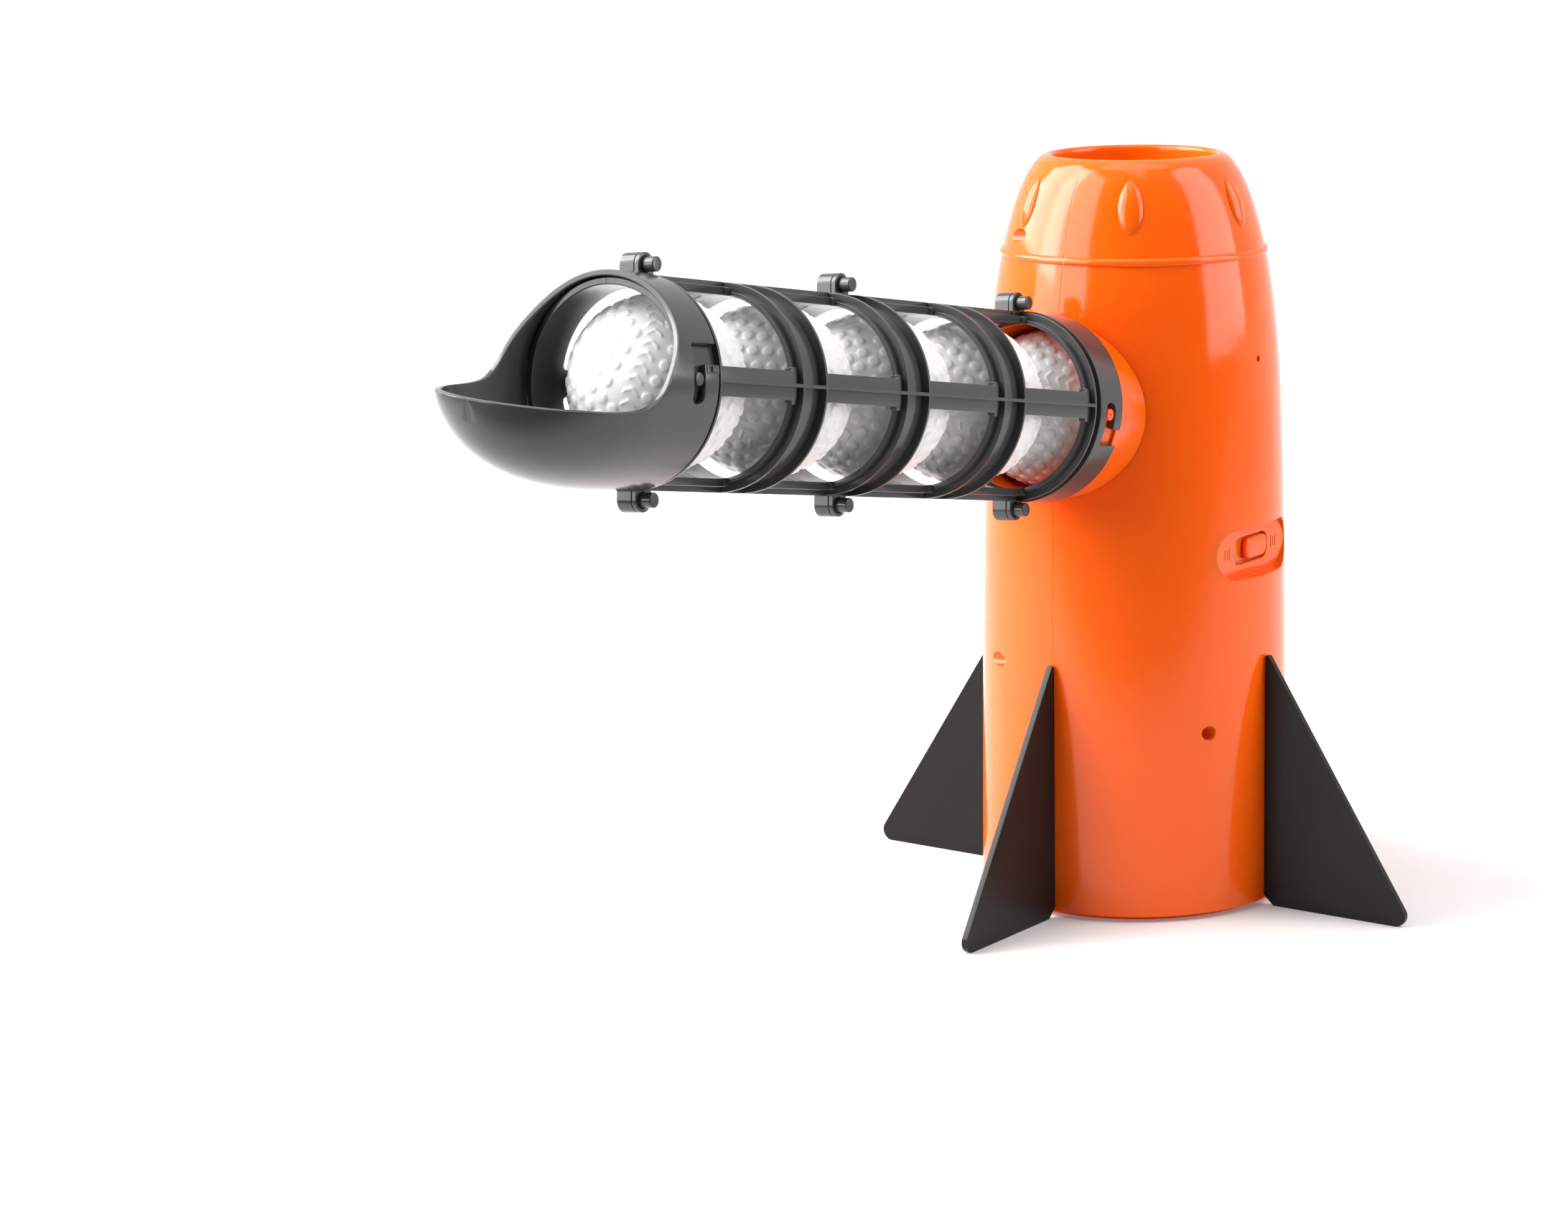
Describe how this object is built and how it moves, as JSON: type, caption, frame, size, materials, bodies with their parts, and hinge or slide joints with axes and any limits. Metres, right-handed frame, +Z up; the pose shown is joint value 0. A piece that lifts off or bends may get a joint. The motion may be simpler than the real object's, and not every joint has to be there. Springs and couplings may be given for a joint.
{
  "type": "ball pitching machine",
  "caption": "Rocket-shaped toy ball popper: finned round tower with an open top, fed by a tilted open cage of balls with a scoop at its end.",
  "frame": {"origin": "on the floor at the tower axis", "axes": "+Z up; the ball cage runs out and up toward -X; -Y is the side with the switch"},
  "size_m": [0.6016, 0.2846, 0.3407],
  "materials": {
    "orange_gloss": "moulded, high gloss",
    "grey_gloss": "moulded, gloss",
    "fin_black": "moulded, satin",
    "ball_white": "blow moulded, slightly translucent satin",
    "inner_plastic": "moulded, matt",
    "gear_nylon": "moulded nylon",
    "steel": "plain bright steel",
    "brass": "machined",
    "cell_wrap": "printed film over a can, no print"
  },
  "bodies": {
    "tower": {"shell_near": "orange_gloss", "shell_far": "orange_gloss", "launch_tube": "orange_gloss", "base_plate": "orange_gloss", "battery_door": "orange_gloss", "fin_1": "fin_black", "fin_2": "fin_black", "fin_3": "fin_black", "fin_4": "fin_black", "gearbox_plate_near": "inner_plastic", "gearbox_plate_far": "inner_plastic", "mechanism_deck": "inner_plastic", "battery_box": "inner_plastic", "switch_body": "inner_plastic", "launch_spring": "steel", "sector_axle": "steel", "reduction_axle": "steel", "motor": "steel", "contact_near": "steel", "contact_far": "steel", "shell_screw_1": "steel", "shell_screw_2": "steel", "shell_screw_3": "steel", "shell_screw_4": "steel", "shell_screw_5": "steel", "shell_screw_6": "steel", "cell_1": "cell_wrap", "cell_2": "cell_wrap", "cell_3": "cell_wrap"},
    "cage": {"cage_near": "grey_gloss", "cage_far": "grey_gloss"},
    "scoop": {"scoop": "grey_gloss"},
    "launcher": {"launch_cup": "inner_plastic"},
    "sector_gear": {"sector_gear": "gear_nylon"},
    "reduction_gear": {"reduction_gear": "gear_nylon"},
    "motor_pinion": {"motor_pinion": "brass"},
    "switch_knob": {"switch_knob": "orange_gloss"},
    "ball_1": {"ball_1": "ball_white"},
    "ball_2": {"ball_2": "ball_white"},
    "ball_3": {"ball_3": "ball_white"},
    "ball_4": {"ball_4": "ball_white"},
    "ball_5": {"ball_5": "ball_white"}
  },
  "joints": [
    {"name": "cage_twist", "type": "hinge", "parent": "tower", "child": "cage", "pos_m": [0, 0, 0.2211], "axis": [-0.9856, 0, 0.169], "range_deg": [-3, 15]},
    {"name": "scoop_twist", "type": "hinge", "parent": "cage", "child": "scoop", "pos_m": [0, 0, 0.2211], "axis": [-0.9856, 0, 0.169], "range_deg": [-12, 8]},
    {"name": "ball_feed_1", "type": "slide", "parent": "cage", "child": "ball_1", "axis": [-0.9856, 0, 0.169], "range_m": [-0.0708, 0.03]},
    {"name": "ball_feed_2", "type": "slide", "parent": "cage", "child": "ball_2", "axis": [-0.9856, 0, 0.169], "range_m": [-0.0708, 0.03]},
    {"name": "ball_feed_3", "type": "slide", "parent": "cage", "child": "ball_3", "axis": [-0.9856, 0, 0.169], "range_m": [-0.0708, 0.03]},
    {"name": "ball_feed_4", "type": "slide", "parent": "cage", "child": "ball_4", "axis": [-0.9856, 0, 0.169], "range_m": [-0.0708, 0.03]},
    {"name": "ball_feed_5", "type": "slide", "parent": "cage", "child": "ball_5", "axis": [-0.9856, 0, 0.169], "range_m": [-0.0708, 0.03]},
    {"name": "launcher_lift", "type": "slide", "parent": "tower", "child": "launcher", "axis": [0, 0, 1], "range_m": [0, 0.03], "deforming": ["launch_spring"]},
    {"name": "sector_spin", "type": "hinge", "parent": "tower", "child": "sector_gear", "pos_m": [0.02745, 0, 0.0936], "axis": [0, 1, 0], "continuous": true},
    {"name": "reduction_spin", "type": "hinge", "parent": "tower", "child": "reduction_gear", "pos_m": [0.02241, 0, 0.06499], "axis": [0, 1, 0], "continuous": true},
    {"name": "pinion_spin", "type": "hinge", "parent": "tower", "child": "motor_pinion", "pos_m": [-0.00151, 0, 0.05629], "axis": [0, 1, 0], "continuous": true},
    {"name": "switch_slide", "type": "slide", "parent": "tower", "child": "switch_knob", "axis": [1, 0, 0], "range_m": [-0.01, 0]}
  ],
  "couplings": [
    {"joint": "ball_feed_2", "follows": "ball_feed_1", "ratio": 1},
    {"joint": "ball_feed_3", "follows": "ball_feed_1", "ratio": 1},
    {"joint": "ball_feed_4", "follows": "ball_feed_1", "ratio": 1},
    {"joint": "ball_feed_5", "follows": "ball_feed_1", "ratio": 1},
    {"joint": "reduction_spin", "follows": "sector_spin", "ratio": -3},
    {"joint": "pinion_spin", "follows": "sector_spin", "ratio": 7.5}
  ]
}
